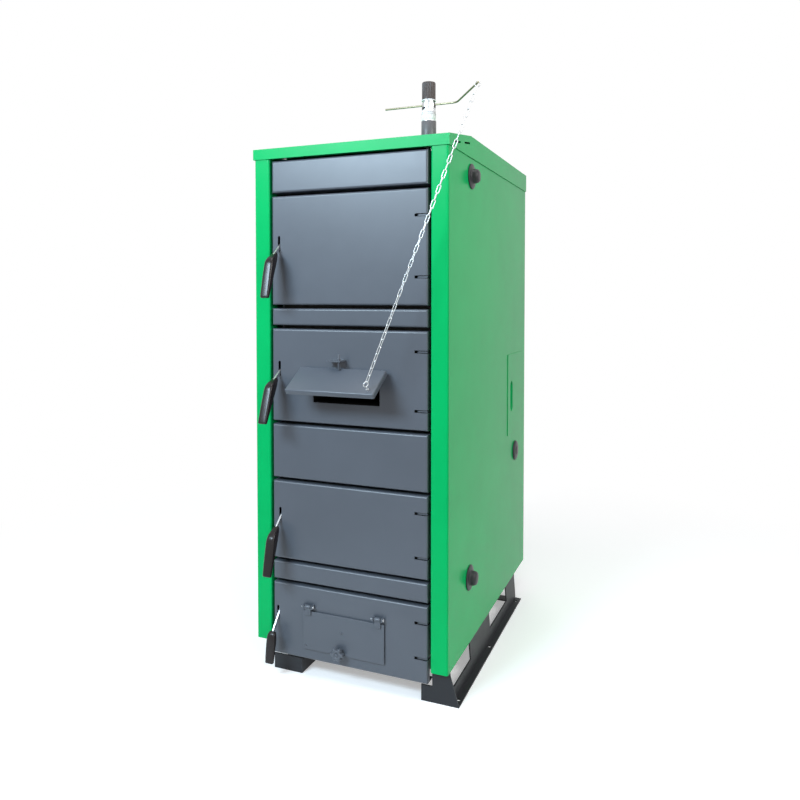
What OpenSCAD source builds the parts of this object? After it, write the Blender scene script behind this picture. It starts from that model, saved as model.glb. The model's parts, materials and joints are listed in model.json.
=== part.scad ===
// Wood gasification boiler: a tall sheet-steel casing on two floor runners, four
// hinged front doors one above another, an air flap lifted by a chain and a
// thermostatic draught regulator.
// Millimetres, +Z up, front at -Y, origin on the floor under the casing's middle.

/* [Casing] */
// Width over the two side panels
casing_w = 600; // [540:5:760]
// Depth from the front posts to the rear panel
casing_d = 930; // [760:10:1200]
// Height of the side panels
casing_h = 1420; // [1370:10:1800]
// Underside of the casing above the floor
base_h = 90; // [75:1:130]
// Thickness of the folded sheet
sheet_t = 2; // [1:0.5:3]
// Radius on the outside of a folded edge
fold_r = 6; // [4:0.5:8]
// Width of the post beside the doors
post_w = 50; // [40:1:70]
// Depth of the return behind a post
post_return = 40; // [20:1:55]

/* [Top cover] */
// How far the top cover stands out past the casing
lid_over = 3; // [0:0.5:8]
// Height of its front edge
lid_front_h = 30; // [20:1:60]
// Rise of its sloped front part
lid_rise = 31; // [0:1:60]
// Depth of its sloped front part
lid_slope_d = 195; // [100:5:300]
// Width of the flange that rests on the casing
lid_flange = 14; // [8:1:30]
// Gap between the header panel and the top cover
lid_gap = 7; // [2:0.5:12]

/* [Front rows] */
// How far the lowest door hangs below the casing
ash_drop = 35; // [0:1:50]
// Height of the lowest door
ash_h = 213; // [190:1:300]
// Height of the lower band
low_band_h = 53; // [30:1:90]
// Height of the lower chamber's door
lower_h = 229; // [190:1:300]
// Height of the middle panel
middle_h = 157; // [80:1:200]
// Height of the furnace door
furnace_h = 270; // [240:1:330]
// Height of the upper band
up_band_h = 49; // [30:1:90]
// Height of the loading door
loading_h = 315; // [260:1:380]
// Gap between two rows
row_gap = 10; // [7:0.5:16]
// Gap between a door and a post
side_gap = 8; // [7:0.5:14]

/* [Doors] */
// Depth of a door's cover
cover_d = 44; // [36:1:60]
// Depth of the cover's fold on the hinge side
hinge_fold_d = 20; // [12:1:24]
// Thickness of a door's inner plate
plate_t = 5; // [3:0.5:8]
// Depth of the front plate behind the posts
plate_y = 65; // [60:1:90]
// Thickness of the front plate
front_plate_t = 6; // [4:0.5:10]
// Width of the door openings
opening_w = 348; // [300:2:400]
// Edge of an opening from its door's edge
opening_inset = 40; // [34:1:55]
// Gap round the insulation block in its opening
block_gap = 8; // [7:0.5:14]
// How far the insulation block reaches past the front plate's face
block_in = 18; // [8:1:20]
// Width of the channel that holds the sealing rope
rope_w = 14; // [10:1:18]

/* [Hinges] */
// Diameter of a hinge pin
pin_d = 8; // [6:1:10]
// Radial running clearance of a pin
pin_gap = 0.05; // [0.02:0.01:0.1]
// Hinge axis from the door's edge
hinge_in = 26; // [22:1:30]
// Hinge axis behind the door's face
hinge_y = 12; // [11:1:14]
// Thickness of a hinge bracket
bracket_t = 5; // [4:0.5:6]
// Width of a hinge bracket
bracket_w = 32; // [24:1:36]
// Height of the slots for brackets and handles
slot_w = 8; // [7:0.5:10]
// Length of a hinge slot from the door's edge
hinge_slot = 38; // [36:1:44]

/* [Handles] */
// Length of a handle's slot
handle_slot = 44; // [38:1:50]
// Handle's pivot behind the door's face
handle_y = 36; // [30:1:38]
// Thickness of a handle's flat bar
bar_t = 5; // [4:0.5:6]
// Height of a handle's flat bar
bar_h = 10; // [8:0.5:12]
// How far a bar stands out of its door
bar_out = 32; // [26:1:40]
// Width of a grip
grip_w = 28; // [20:1:34]

/* [Air flap] */
// Width of the flap
flap_w = 268; // [200:2:300]
// Length of the flap from its hinge
flap_l = 103; // [80:1:120]
// Depth of the flap's folded lip
flap_lip = 15; // [8:1:20]
// How far the flap stands open at rest
flap_open = 58; // [20:1:65]
// Width of the air opening
air_w = 208; // [150:2:220]
// Height of the air opening
air_h = 80; // [50:1:84]

/* [Ash hatch] */
// Width of the hatch plate
hatch_w = 256; // [200:2:280]
// Height of the hatch plate
hatch_h = 112; // [90:1:120]
// Thickness of the hatch plate
hatch_t = 4; // [3:0.5:6]
// Diameter of the star knob
star_d = 39; // [30:1:50]

/* [Regulator and chain] */
// Diameter of the regulator
reg_d = 38; // [30:1:46]
// Height of the regulator's top above the casing
reg_up = 197; // [180:1:260]
// Length of the lever's straight part
lever_l = 213; // [160:1:260]
// Diameter of the lever's rod
lever_rod_d = 5; // [4:0.5:7]
// Wire of a chain link
wire_d = 2.4; // [2:0.1:3.2]
// Inside width of a chain link
link_in = 5; // [4.5:0.1:7]
// Inside length of a chain link, made to fit the span
link_len = 20; // [14:0.5:30]
// Play between two links
link_play = 0.3; // [0.1:0.05:0.6]

/* [Runners] */
// Depth of the runners' fronts behind the posts
runner_y = 20; // [10:1:60]
// Length of a runner
runner_l = 751; // [640:1:900]
// How far a runner's foot stands out past the casing
foot_out = 27; // [20:1:50]
// Thickness of the runner steel
runner_t = 4; // [3:0.5:6]
// Height of the strip under the windows
strip_h = 40; // [35:1:60]
// Diameter of the floor bolt holes
foot_hole_d = 11; // [8:1:14]

/* [Water and flue] */
// Thickness of the water jackets
jacket_t = 60; // [40:1:80]
// Outer diameter of the flue spigot
flue_d = 180; // [150:5:220]
// How far the spigot stands out behind the casing
flue_out = 65; // [40:1:100]
// Thickness of the spigot's wall
flue_t = 4; // [3:0.5:6]
// Bore of the supply and return sockets
socket_bore_d = 45; // [30:0.5:55]
// How far a socket stands out behind the casing
socket_out = 30; // [15:1:60]

/* [Hidden] */

GREEN = "#00a651";
GRAPHITE = "#5f6a75";
CHARCOAL = "#3a3b3f";
BARE = "#b9bdc0";
BLACK = "#1d1d1f";
STEEL = "#7d7a76";
STONE = "#cdbfa4";
ZINC = "#d8d3b8";

over = 1;               // how far a cutting tool reaches past the face it cuts
touch = 0.3;            // gap of a piece that rests on another body

// Planes. front() moves a shape so that y = 0 is the front of the posts.
front_y = -casing_d / 2;
half_w = casing_w / 2;
casing_top = base_h + casing_h;
post_x = half_w - post_w;
door_x = post_x - side_gap;
door_w = 2 * door_x;

// Rows, from the lowest door up
ASH = 0;
LOWER = 1;
FURNACE = 2;
LOADING = 3;
DOORS = [ASH, LOWER, FURNACE, LOADING];
ash_z = base_h - ash_drop;
low_band_z = ash_z + ash_h + row_gap;
lower_z = low_band_z + low_band_h + row_gap;
middle_z = lower_z + lower_h + row_gap;
furnace_z = middle_z + middle_h + row_gap;
up_band_z = furnace_z + furnace_h + row_gap;
loading_z = up_band_z + up_band_h + row_gap;
header_z = loading_z + loading_h + row_gap;
door_z = [ash_z, lower_z, furnace_z, loading_z];
door_h = [ash_h, lower_h, furnace_h, loading_h];
// Hinge heights from the door's lower and upper edges
hinge_low = [68, 58, 53, 77];
hinge_high = [48, 49, 56, 72];
// Each handle: its middle from the door's edge, its bar's exit above the door's lower
// edge, and the bar's slope below the horizontal
handle_in = [15, 24, 24, 24];
handle_up = [110, 117, 142, 166];
bar_slope = [50, 44, 34, 40];

// Hinges
hinge_x = door_x - hinge_in;
pin_r = pin_d / 2;
eye_r = pin_r + 4;
ear_t = 5;
ear_gap = 1;

// Handles
function handle_x(i) = -door_x + handle_in[i];
function bar_drop(i) = handle_y * tan(bar_slope[i]);
slot_below = 10;        // how far a handle's slot reaches below the bar
tail_l = 24;
nose_h = 12;
lug_t = 6;
catch_gap = 6;
catch_d = 16;

// Openings and chambers
opening_x = opening_w / 2;
block_x = opening_x - block_gap;
jacket_in = opening_x + 6;
rear_jacket_y = casing_d - 140;
chamber_y = plate_y + front_plate_t;
foot_x = door_x - 24;    // inner edge of the right runner, under its jacket
left_in = opening_x - 18;    // inner side of the left runner
left_out = post_x;           // outer side of the left runner
floor_z = base_h - 10;
floor_t = 15;
shelf_t = 60;
nozzle_t = 100;
nozzle_slot_w = 60;
ceiling_t = 40;
ceiling_z = casing_top - 100;

// Air flap, drawn shut and then turned open about its rod
flap_x = -6;
flap_axis_y = -13;
flap_axis_z = furnace_z + 155;
flap_rod_r = 3;
flap_lug_r = 5;
air_x = -3;
air_z = flap_axis_z - 15 - air_h;
eye_x = 106;
eye_s = 86;
eye_up = 20;
eye_r_mid = 7.5;
eye_wire_r = 1.5;
ring_r = 7;
stop_x = -11;
stop_y = -27;
stop_z = flap_axis_z + 26;

// Ash hatch
hatch_x = -12;
hatch_z = ash_z + 33;
hatch_y = -6;
hatch_air_w = 196;
hatch_air_h = 66;
hatch_air_z = hatch_z + (hatch_h - hatch_air_h) / 2;
hatch_axis_z = hatch_z + hatch_h + 14;
hatch_axis_y = -9;
hatch_rod_r = 3;
star_x = -22;
star_z = hatch_z + 10;
star_screw_r = 4;

// Regulator
reg_x = half_w - 92;
reg_y = 100;
reg_top = casing_top + reg_up;
knob_h = 48;
stem_r = 8;
sleeve_r = reg_d / 2 + 1.5;
lever_z = reg_top - knob_h - 14;
lever_back = 131;
lever_bend_x = reg_x + lever_l - lever_back;
lever_tip_x = lever_bend_x + 107;
lever_tip_y = reg_y - 160;

// Chain, from the ring on the lever's tip to the eye on the flap
wire_r = wire_d / 2;
hook_t = 0.965;
hook_p = [
    lever_bend_x + hook_t * (lever_tip_x - lever_bend_x),
    front_y + reg_y + hook_t * (lever_tip_y - reg_y),
    lever_z
];
ring_drop = ring_r - wire_r - lever_rod_d / 2 - touch;
plate_n = [0, -cos(flap_open), sin(flap_open)];
plate_s = [0, -sin(flap_open), -cos(flap_open)];
eye_foot = [eye_x, front_y + flap_axis_y, flap_axis_z] + eye_s * plate_s + 8 * plate_n;
chain_end = eye_foot + eye_up * plate_n;
chain_start = hook_p - [0, 0, ring_drop];
chain_v = chain_end - chain_start;
chain_span = norm(chain_v);
chain_u = chain_v / chain_span;
chain_tilt = acos(chain_u[2]);
chain_turn = atan2(chain_u[1], chain_u[0]);
chain_a = [cos(chain_tilt) * cos(chain_turn), cos(chain_tilt) * sin(chain_turn), -sin(chain_tilt)];
chain_b = [-sin(chain_turn), cos(chain_turn), 0];
rod_u = [lever_tip_x - lever_bend_x, lever_tip_y - reg_y, 0];
ring_angle = atan2(rod_u * chain_b, rod_u * chain_a);
eye_u = cross(plate_n, chain_u);
eye_angle = atan2(eye_u * chain_b, eye_u * chain_a);
ring_take = ring_r - wire_d - link_play;
eye_take = eye_r_mid - eye_wire_r - wire_r - link_play;
chain_run = chain_span - ring_take - eye_take - wire_d - link_play;
link_count = round(chain_run / link_len);
link_pitch = chain_run / link_count;
twist = (eye_angle - ring_angle + 90 * (link_count + 1)) % 180;
link_twist = (twist > 90 ? twist - 180 : twist < -90 ? twist + 180 : twist) / (link_count + 1);

// ---------------------------------------------------------------- shared shapes

module front() {
    translate([0, front_y, 0]) children();
}

// Box between two x, two depths behind the posts and two heights
module slab(x, y, z) {
    front() translate([x[0], y[0], z[0]]) cube([x[1] - x[0], y[1] - y[0], z[1] - z[0]]);
}

// Rectangle whose two corners on the side y = 0 are round
module fold_profile(w, d, r) {
    translate([0, r]) square([w, d - r]);
    translate([r, 0]) square([w - 2 * r, d]);
    for (x = [r, w - r]) translate([x, r]) circle(r, $fn = 32);
}

// Block whose front edges are all round
module folded_block(w, h, d, r) {
    intersection() {
        linear_extrude(h) fold_profile(w, d, r);
        rotate([90, 0, 90]) linear_extrude(w) mirror([1, -1]) fold_profile(h, d, r);
    }
}

// Open-backed tray of folded sheet between x0 and x1, standing on z
module tray(x, z, h, d) {
    w = x[1] - x[0];
    front() translate([x[0], 0, z]) difference() {
        folded_block(w, h, d, fold_r);
        translate([sheet_t, sheet_t, sheet_t])
            folded_block(w - 2 * sheet_t, h - 2 * sheet_t, d, fold_r - sheet_t);
    }
}

// Slot with round ends, l long in all, along x
module slot_profile(l, w) {
    square([l - w, w], center = true);
    for (s = [-1, 1]) translate([s * (l - w) / 2, 0]) circle(w / 2, $fn = 24);
}

// Cylinder along x, centred on its middle
module rod_x(r, l) {
    rotate([0, 90, 0]) cylinder(r = r, h = l, center = true, $fn = 32);
}

// Cylinder along y from y = 0 to y = l
module rod_y(r, l) {
    rotate([-90, 0, 0]) cylinder(r = r, h = l, $fn = 32);
}

// ---------------------------------------------------------------- base and casing

window_y = [[runner_y + runner_t, runner_y + 186], [runner_y + 403, runner_y + runner_l - 126]];
lean = 7;               // how far the right runner's web leans out

function foot_holes() = [runner_y + 30, runner_y + 355, runner_y + runner_l - 31];

// Profile drawn across the boiler, swept along a runner
module along_runner(l = runner_l) {
    front() translate([0, runner_y + runner_l, 0]) rotate([90, 0, 0]) linear_extrude(l) children();
}

// Windows between the legs, and room for the lowest door in front of them
module windows(x, door_end) {
    for (y = window_y)
        slab(x, y, [strip_h, base_h + over]);
    slab([x[0], door_end], [runner_y - over, runner_y + runner_t + over],
        [strip_h, base_h + over]);
}

module foot_bolts(x) {
    for (y = foot_holes())
        front() translate([x, y, -over]) cylinder(d = foot_hole_d, h = runner_t + 2 * over, $fn = 24);
}

module right_runner() {
    difference() {
        along_runner() {
            polygon([[half_w - runner_t, base_h], [half_w, base_h],
                [half_w + lean, 0], [half_w + lean - runner_t, 0]]);
            translate([half_w + lean - runner_t, 0])
                square([foot_out - lean + runner_t, runner_t]);
            translate([foot_x, base_h - runner_t]) square([half_w - foot_x, runner_t]);
        }
        windows([foot_x - over, half_w + foot_out], post_x);
        foot_bolts(half_w + foot_out - 12);
    }
    // Front gusset
    front() translate([0, runner_y, 0]) rotate([90, 0, 0]) linear_extrude(runner_t)
        polygon([[foot_x, 0], [half_w + foot_out, 0], [half_w, base_h], [post_x, base_h],
            [post_x, ash_z - row_gap], [foot_x, ash_z - row_gap]]);
}

// The left runner stands farther in and turns its foot outwards under the jacket
module left_runner() {
    difference() {
        along_runner() {
            translate([-left_in - runner_t, 0]) square([runner_t, floor_z]);
            translate([-left_out, 0]) square([left_out - left_in, runner_t]);
            translate([-left_out, floor_z - runner_t]) square([left_out - left_in, runner_t]);
            translate([-jacket_in - jacket_t, floor_z]) square([jacket_t - 4, base_h - floor_z]);
        }
        windows([-left_out - over, -left_in + over], -left_in + over);
        foot_bolts(-left_out + 25);
    }
    slab([-left_out, -left_in], [runner_y - runner_t, runner_y], [0, ash_z - row_gap]);
}

module floor_runners() {
    tie_d = 40;
    color(CHARCOAL) {
        right_runner();
        left_runner();
        // Strip that ties the two runners together at the rear
        slab([-left_in, half_w + lean - runner_t],
            [runner_y + runner_l - tie_d, runner_y + runner_l], [0, runner_t]);
    }
}

module casing_side() {
    front() translate([post_x, 0, base_h]) linear_extrude(casing_h) difference() {
        fold_profile(post_w, casing_d - sheet_t, fold_r);
        translate([sheet_t, sheet_t])
            fold_profile(post_w - 2 * sheet_t, casing_d, fold_r - sheet_t);
        translate([-over, post_return]) square([sheet_t + over, casing_d]);
    }
}

module casing_left() {
    color(GREEN) mirror([1, 0, 0]) casing_side();
}

// Side plugs: depth behind the posts and height, the last one flat
plug_at = [[210, casing_top - 52], [200, base_h + 196], [774, base_h + 458]];
hatch_cover_y = [660, 880];
hatch_cover_z = [base_h + 530, base_h + 815];
hatch_lap = 12;

module casing_right() {
    color(GREEN) difference() {
        casing_side();
        for (p = plug_at)
            front() translate([half_w - 10, p[0], p[1]]) rod_x(16, 40);
        slab([half_w - 10, half_w + over],
            [hatch_cover_y[0] + hatch_lap, hatch_cover_y[1] - hatch_lap],
            [hatch_cover_z[0] + hatch_lap, hatch_cover_z[1] - hatch_lap]);
    }
}

module side_hatch_cover() {
    slot_y = hatch_cover_y[0] + 52;
    slot_z = (hatch_cover_z[0] + hatch_cover_z[1]) / 2 - 8;
    color(GREEN) difference() {
        slab([half_w, half_w + sheet_t], hatch_cover_y, hatch_cover_z);
        front() translate([half_w - over, slot_y, slot_z]) rotate([90, 0, 90])
            linear_extrude(sheet_t + 2 * over) rotate([0, 0, 90]) slot_profile(108, 34);
    }
}

module casing_rear() {
    color(GREEN) difference() {
        slab([-half_w, half_w], [casing_d - sheet_t, casing_d], [base_h, casing_top]);
        front() translate([0, casing_d - 10, flue_z]) rod_y(root_r + touch, 20);
        for (p = socket_at)
            front() translate([p[0], casing_d - 10, p[1]]) rod_y(socket_r + touch, 20);
    }
}

module lid_profile(inset) {
    y0 = -lid_over + inset;
    y1 = casing_d + lid_over - inset;
    slope = lid_rise / lid_slope_d;
    drop = inset * sqrt(1 + slope * slope);
    bend = lid_slope_d + inset * (sqrt(1 + slope * slope) - 1) / max(slope, 0.01);
    z_front = lid_front_h + slope * (inset) - drop;
    polygon([[y0, inset], [y0, z_front], [bend, lid_front_h + lid_rise - inset],
        [y1, lid_front_h + lid_rise - inset], [y1, inset]]);
}

vent_y = [70, 158];
vent_up = 20;
vent_l = 54;
vent_w = 5;

module top_cover() {
    w = casing_w + 2 * lid_over;
    slope_a = atan(lid_rise / lid_slope_d);
    color(GREEN) difference() {
        front() translate([-w / 2, 0, casing_top]) rotate([90, 0, 90])
            linear_extrude(w) lid_profile(0);
        front() translate([-w / 2 + sheet_t, 0, casing_top]) rotate([90, 0, 90])
            linear_extrude(w - 2 * sheet_t) lid_profile(sheet_t);
        slab([-half_w + lid_flange, half_w - lid_flange],
            [lid_flange, casing_d - lid_flange],
            [casing_top - over, casing_top + sheet_t + over]);
        // Regulator's hole
        front() translate([reg_x, reg_y, casing_top + lid_flange])
            cylinder(r = sleeve_r + 1, h = 100, $fn = 48);
        // Two vent slots in each skirt, in line with the slope
        for (y = vent_y)
            front() translate([0, y, casing_top + vent_up + (y - vent_y[0]) * tan(slope_a)])
                rotate([90, 0, 90]) rotate([0, 0, slope_a])
                    linear_extrude(w + 2 * over, center = true) slot_profile(vent_l, vent_w);
    }
}

// ---------------------------------------------------------------- front panels

module fixed_panel(z, h) {
    color(GRAPHITE) tray([-door_x, door_x], z, h, plate_y);
}

module header_panel() {
    fixed_panel(header_z, casing_top - lid_gap - header_z);
}

module front_panels() {
    fixed_panel(low_band_z, low_band_h);
    fixed_panel(middle_z, middle_h);
    fixed_panel(up_band_z, up_band_h);
}

module front_plate() {
    color(STEEL) difference() {
        slab([-post_x + 4, post_x - 4], [plate_y, plate_y + front_plate_t],
            [ash_z + 10, casing_top - 4]);
        for (i = DOORS)
            slab([-opening_x, opening_x], [plate_y - over, plate_y + front_plate_t + over],
                [door_z[i] + opening_inset, door_z[i] + door_h[i] - opening_inset]);
    }
}

function hinge_heights(i) = [door_z[i] + hinge_low[i], door_z[i] + door_h[i] - hinge_high[i]];
function handle_z(i) = door_z[i] + handle_up[i] + bar_drop(i);

module hinge_bracket() {
    x0 = hinge_x - eye_r;
    translate([0, 0, -bracket_t / 2]) linear_extrude(bracket_t) difference() {
        union() {
            translate([hinge_x, hinge_y]) circle(eye_r, $fn = 48);
            translate([x0, hinge_y]) square([bracket_w, plate_y - hinge_y]);
            translate([hinge_x, hinge_y - eye_r])
                square([bracket_w - eye_r, plate_y - hinge_y + eye_r]);
        }
        translate([hinge_x, hinge_y]) circle(pin_r + pin_gap, $fn = 48);
    }
}

module door_fittings() {
    color(CHARCOAL) for (i = DOORS) {
        for (z = hinge_heights(i)) front() translate([0, 0, z]) hinge_bracket();
        // Tongue that the handle's nose would catch behind
        slab([handle_x(i) - 12, handle_x(i) + 1], [plate_y - catch_d, plate_y],
            [handle_z(i) + nose_h + catch_gap, handle_z(i) + nose_h + catch_gap + 6]);
    }
}

// ---------------------------------------------------------------- boiler body

module water_jackets() {
    color(STEEL) {
        for (s = [0, 1]) mirror([s, 0, 0])
            slab([jacket_in, jacket_in + jacket_t], [chamber_y, rear_jacket_y + jacket_t],
                [base_h, ceiling_z + ceiling_t]);
        slab([-jacket_in, jacket_in], [rear_jacket_y, rear_jacket_y + jacket_t],
            [base_h, ceiling_z + ceiling_t]);
    }
}

module chamber_floor(z, t) {
    slab([-jacket_in, jacket_in], [chamber_y, rear_jacket_y], [z, z + t]);
}

module chamber_floors() {
    nozzle_z = middle_z + middle_h - nozzle_t - 20;
    color(STEEL) {
        chamber_floor(floor_z, floor_t);
        chamber_floor(low_band_z, shelf_t);
        chamber_floor(ceiling_z, ceiling_t);
        // Furnace floor in two halves, with the nozzle slot between them
        for (s = [0, 1]) mirror([s, 0, 0])
            slab([nozzle_slot_w / 2, jacket_in], [chamber_y, rear_jacket_y],
                [nozzle_z, nozzle_z + nozzle_t]);
    }
}

flue_z = casing_top - 210;
socket_r = socket_bore_d / 2 + 7;
socket_at = [[-150, casing_top - 130], [150, base_h + 130]];

root_r = flue_d / 2 + 3;
shoulder = 5;           // how far the spigot's thick root stands out of the rear panel

module flue_spigot() {
    l = casing_d + flue_out - rear_jacket_y - jacket_t;
    color(CHARCOAL) front() translate([0, rear_jacket_y + jacket_t, flue_z]) difference() {
        union() {
            rotate([-90, 0, 0]) cylinder(r = root_r, h = l - flue_out + shoulder, $fn = 96);
            rotate([-90, 0, 0]) cylinder(d = flue_d, h = l, $fn = 96);
        }
        translate([0, -over, 0]) rotate([-90, 0, 0])
            cylinder(d = flue_d - 2 * flue_t, h = l + 2 * over, $fn = 96);
    }
}

module water_sockets() {
    l = casing_d + socket_out - rear_jacket_y - jacket_t;
    color(BARE) for (p = socket_at)
        front() translate([p[0], rear_jacket_y + jacket_t, p[1]]) difference() {
            rod_y(socket_r, l);
            translate([0, -over, 0]) rod_y(socket_bore_d / 2, l + 2 * over);
        }
}

// Round cover with a domed cap, turned about x
module side_plug(flat) {
    rotate([0, 90, 0]) rotate_extrude($fn = 64)
        polygon(flat
            ? [[0, -20], [15, -20], [15, 0], [35, 0], [35, 3], [31, 7], [16, 8], [14, 10], [0, 10]]
            : [[0, -20], [15, -20], [15, 0], [36.5, 0], [36.5, 3], [34, 6], [26, 8], [24, 12],
                [20.5, 18], [17, 22.5], [13, 24.5], [0, 25]]);
}

module side_plugs() {
    color(BLACK) for (i = [0:2])
        front() translate([half_w, plug_at[i][0], plug_at[i][1]]) side_plug(i == 2);
}

// ---------------------------------------------------------------- doors

module door_cover(i) {
    h = door_h[i];
    color(GRAPHITE) difference() {
        tray([-door_x, door_x], door_z[i], h, cover_d);
        // The fold on the hinge side is shallower
        slab([door_x - sheet_t - over, door_x + over], [hinge_fold_d, cover_d + over],
            [door_z[i] + sheet_t, door_z[i] + h - sheet_t]);
        for (z = hinge_heights(i))
            slab([door_x - hinge_slot, door_x + over], [-over, cover_d],
                [z - slot_w / 2, z + slot_w / 2]);
        front() translate([handle_x(i), -over, door_z[i] + handle_up[i] + handle_slot / 2 - slot_below])
            rotate([-90, 0, 0]) linear_extrude(10) rotate([0, 0, 90])
                slot_profile(handle_slot, slot_w);
        if (i == FURNACE) air_cut(air_x, air_w, air_z, air_h);
        if (i == ASH) air_cut(hatch_x, hatch_air_w, hatch_air_z, hatch_air_h);
    }
}

// Opening for air through a door
module air_cut(x, w, z, h) {
    slab([x - w / 2, x + w / 2], [-over, plate_y + 40], [z, z + h]);
}

module door_plate(i) {
    z0 = door_z[i];
    z1 = z0 + door_h[i];
    rope_out = opening_x + rope_w + 2;
    color(STEEL) {
        difference() {
            slab([handle_x(i) + bar_t / 2 + ear_gap + 3, hinge_x - eye_r - 10],
                [cover_d, cover_d + plate_t], [z0, z1]);
            if (i == FURNACE) air_cut(air_x, air_w, air_z, air_h);
            if (i == ASH) air_cut(hatch_x, hatch_air_w, hatch_air_z, hatch_air_h);
        }
        // Channel for the sealing rope
        difference() {
            rope_wall(i, rope_w + 2);
            rope_wall(i, rope_w, over);
        }
        difference() {
            rope_wall(i, 2);
            rope_wall(i, 0, over);
        }
        // Pins and the ears that hold them
        for (z = hinge_heights(i)) {
            for (s = [-1, 1])
                front() translate([0, 0, z + s * (bracket_t / 2 + ear_gap + ear_t / 2) - ear_t / 2])
                    linear_extrude(ear_t) {
                        translate([hinge_x, hinge_y]) circle(eye_r, $fn = 48);
                        translate([hinge_x - eye_r - 18, hinge_y])
                            square([18 + eye_r, eye_r]);
                        translate([hinge_x - eye_r - 18, hinge_y])
                            square([14, cover_d - hinge_y]);
                    }
            front() translate([hinge_x, hinge_y, z])
                cylinder(r = pin_r, h = bracket_t + 2 * ear_gap + 2 * ear_t, center = true,
                    $fn = 48);
        }
        // Handle's lug and pivot pin
        front() translate([0, handle_y, handle_z(i)]) {
            translate([handle_x(i) + bar_t / 2 + ear_gap, -8, -8])
                cube([lug_t, cover_d - handle_y + 8, 16]);
            translate([handle_x(i) + ear_gap / 2, 0, 0]) rod_x(pin_r, bar_t + 3 * ear_gap);
        }
    }
}

module rope_wall(i, out, past = 0) {
    slab([-opening_x - out, opening_x + out], [cover_d + plate_t - past, cover_d + plate_t + 8 + past],
        [door_z[i] + opening_inset - out, door_z[i] + door_h[i] - opening_inset + out]);
}

module door_block(i) {
    color(STONE) difference() {
        slab([-block_x, block_x], [cover_d + plate_t, plate_y + block_in],
            [door_z[i] + opening_inset + block_gap,
                door_z[i] + door_h[i] - opening_inset - block_gap]);
        if (i == FURNACE) air_cut(air_x, air_w, air_z, air_h);
        if (i == ASH) air_cut(hatch_x, hatch_air_w, hatch_air_z, hatch_air_h);
    }
}

// Bar and grip are drawn in the plane of the bar: x forward, y up, from the pivot
module bar_profile(i) {
    reach = (handle_y + bar_out) / cos(bar_slope[i]);
    rotate([0, 0, -bar_slope[i]]) translate([0, -bar_h / 2]) square([reach, bar_h]);
    circle(pin_r + 4, $fn = 32);
    translate([-tail_l, -bar_h / 2]) square([tail_l, bar_h]);
    translate([-tail_l, -bar_h / 2]) square([6, bar_h / 2 + nose_h]);
}

module in_handle_plane(i) {
    front() translate([handle_x(i), handle_y, handle_z(i)]) rotate([90, 0, -90])
        children();
}

module door_bar(i) {
    color(BARE) in_handle_plane(i) translate([0, 0, -bar_t / 2])
        linear_extrude(bar_t) difference() {
            bar_profile(i);
            circle(pin_r + pin_gap, $fn = 32);
        }
}

// Grip: a neck along the bar, then a knee and a long drop. Knee and end are measured
// from the bar's exit at the door's face.
grip_knee = [62, -44];
grip_end = [76, -131];
function bar_point(i, out) = [handle_y + out, -(handle_y + out) * tan(bar_slope[i])];
function from_exit(i, p) = [handle_y + p[0], -bar_drop(i) + p[1]];

module grip_at(i, k) {
    if (k == 0) translate(bar_point(i, 21)) rotate([0, 0, -bar_slope[i]]) grip_section(10, grip_w * 0.6);
    if (k == 1) translate(bar_point(i, bar_out + 4)) rotate([0, 0, -bar_slope[i]])
        grip_section(14, grip_w * 0.75);
    if (k == 2) translate(from_exit(i, grip_knee)) rotate([0, 0, -62]) grip_section(15, grip_w);
    if (k == 3) translate(from_exit(i, grip_end)) rotate([0, 0, -81]) grip_section(11, grip_w * 0.93);
}

module door_grip(i) {
    color(BLACK) in_handle_plane(i) difference() {
        for (k = [0:2]) hull() {
            grip_at(i, k);
            grip_at(i, k + 1);
        }
        // Socket for the bar
        translate([0, 0, -bar_t / 2 - touch]) linear_extrude(bar_t + 2 * touch)
            rotate([0, 0, -bar_slope[i]]) translate([0, -bar_h / 2 - touch])
                square([(handle_y + bar_out) / cos(bar_slope[i]) + touch, bar_h + 2 * touch]);
    }
}

// Rounded slice across the grip, t thick and w wide
module grip_section(t, w) {
    rotate([0, 90, 0]) linear_extrude(0.5, center = true)
        for (s = [-1, 1]) translate([s * (w - t) / 2, 0]) circle(t / 2, $fn = 20);
}

// ---------------------------------------------------------------- air flap

// Children drawn on the shut flap: x across, y out of its face, z up, from its rod
module on_flap() {
    front() translate([0, flap_axis_y, flap_axis_z]) rotate([-flap_open, 0, 0]) children();
}

module air_flap() {
    color(GRAPHITE) {
        on_flap() {
            difference() {
                union() {
                    // Plate with a lip folded back on three sides
                    difference() {
                        translate([flap_x - flap_w / 2, -8, -flap_l])
                            cube([flap_w, flap_lip, flap_l]);
                        translate([flap_x - flap_w / 2 + sheet_t, -8 + sheet_t, -flap_l + sheet_t])
                            cube([flap_w - 2 * sheet_t, flap_lip, flap_l]);
                    }
                    for (x = [-96, -20, 56]) translate([x, 0, 0]) {
                        rod_x(flap_rod_r + 3, 26);
                        translate([-13, -8 + sheet_t, -8]) cube([26, 6, 8]);
                    }
                }
                rod_x(flap_rod_r + pin_gap, flap_w + 2 * over);
            }
        }
    }
}

// Eye bolt that takes the chain
module flap_eye() {
    color(BARE) {
        on_flap() translate([eye_x, -8, -eye_s]) rotate([90, 0, 0]) {
            cylinder(d = 5, h = eye_up - eye_r_mid, $fn = 24);
            cylinder(d = 10, h = 4, $fn = 6);
        }
        translate(chain_end) along_chain(eye_angle) wire_ring(eye_r_mid, eye_wire_r);
    }
}

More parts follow.
